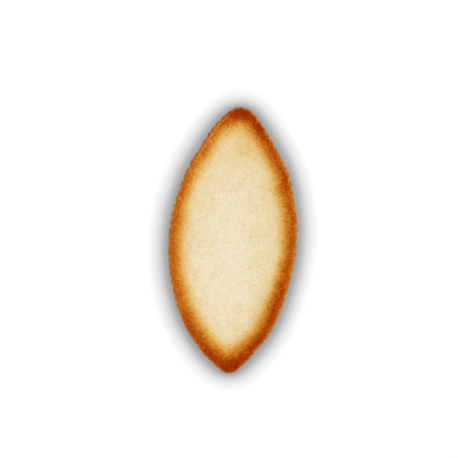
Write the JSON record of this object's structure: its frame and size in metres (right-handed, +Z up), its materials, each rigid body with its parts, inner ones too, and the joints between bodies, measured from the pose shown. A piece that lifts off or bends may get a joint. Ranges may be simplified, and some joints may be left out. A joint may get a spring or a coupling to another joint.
{
  "type": "boat-shaped biscuit",
  "caption": "Thin, crisp boat-shaped biscuit with a pale crowned top, a browned rim and a finely fluted side; it rests on its flat underside.",
  "frame": {"origin": "centre of the flat underside, which is the middle of the biscuit's box at its lowest level", "axes": "+Y along the biscuit towards its blunter tip, +Z up out of the pale top, +X to the right seen from above with the blunter tip away"},
  "size_m": [0.0336, 0.0696, 0.0056],
  "materials": {
    "crust": "dry baked dough, matt and finely grainy: cream on the top, golden to deep brown at the rim and side"
  },
  "bodies": {
    "root": {"biscuit": "crust"}
  },
  "joints": []
}
